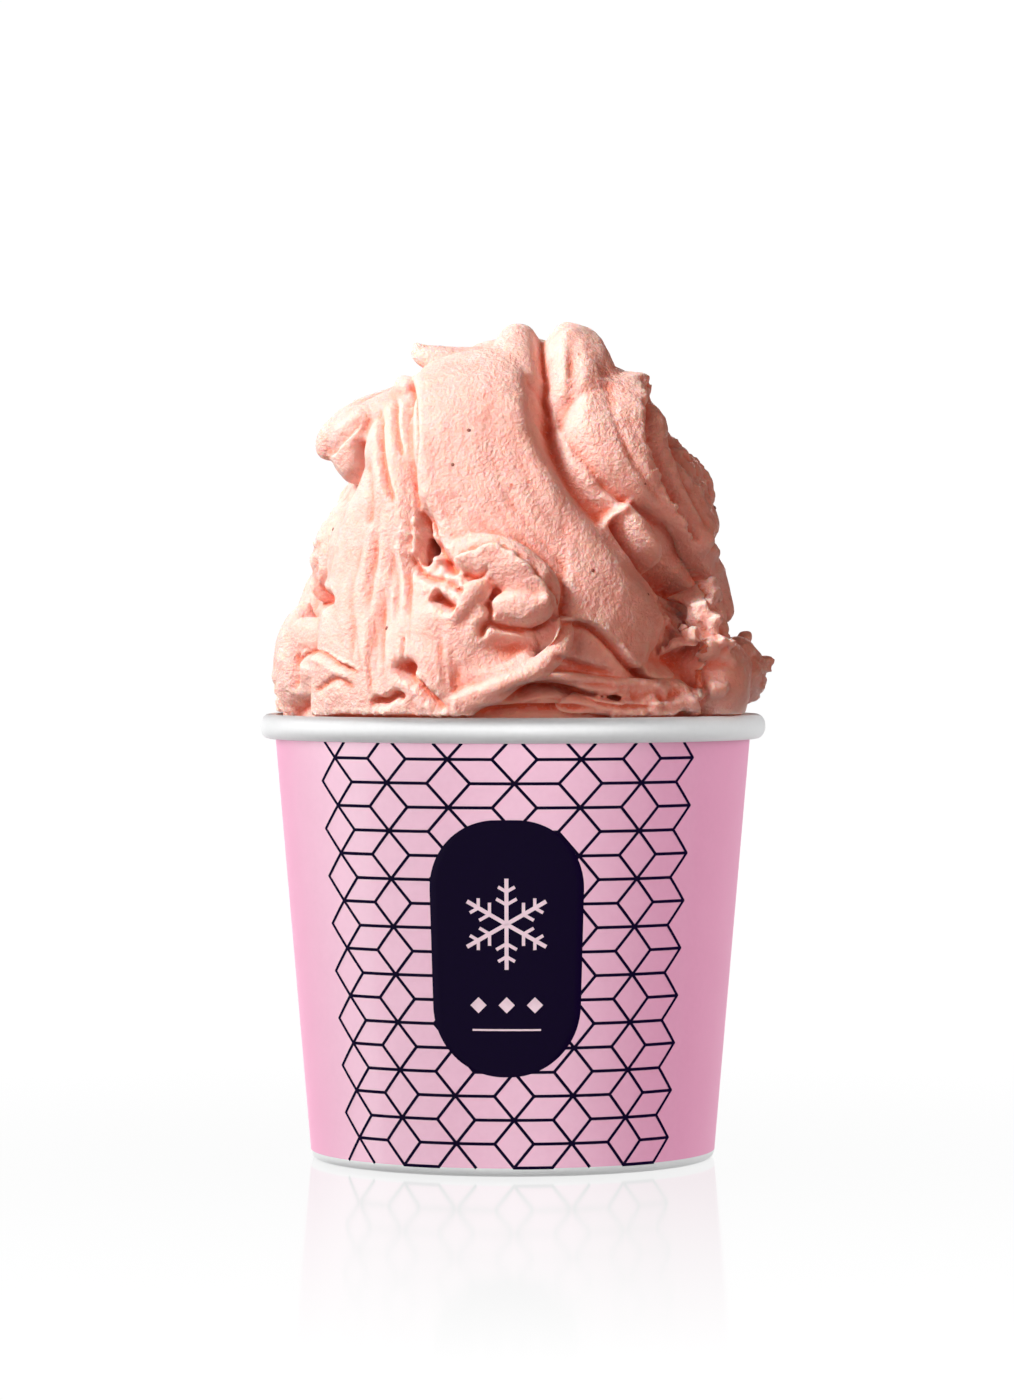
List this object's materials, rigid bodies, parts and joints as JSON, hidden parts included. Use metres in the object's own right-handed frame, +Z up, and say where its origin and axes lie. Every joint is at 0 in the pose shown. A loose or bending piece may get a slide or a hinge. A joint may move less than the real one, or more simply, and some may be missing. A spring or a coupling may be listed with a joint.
{
  "type": "gelato cup",
  "caption": "Paper cup with a rolled rim, filled and heaped with folded pink gelato.",
  "frame": {"origin": "middle of the cup's foot, on the surface that it stands on", "axes": "+Z up; the printed front of the cup faces -Y"},
  "size_m": [0.0983, 0.0978, 0.1598],
  "materials": {
    "printed_paper": "satin, printed",
    "white_board": "matte",
    "gelato": "matte, icy grain"
  },
  "bodies": {
    "root": {"cup_wall": "printed_paper", "cup_base": "white_board", "gelato": "gelato"}
  },
  "joints": []
}
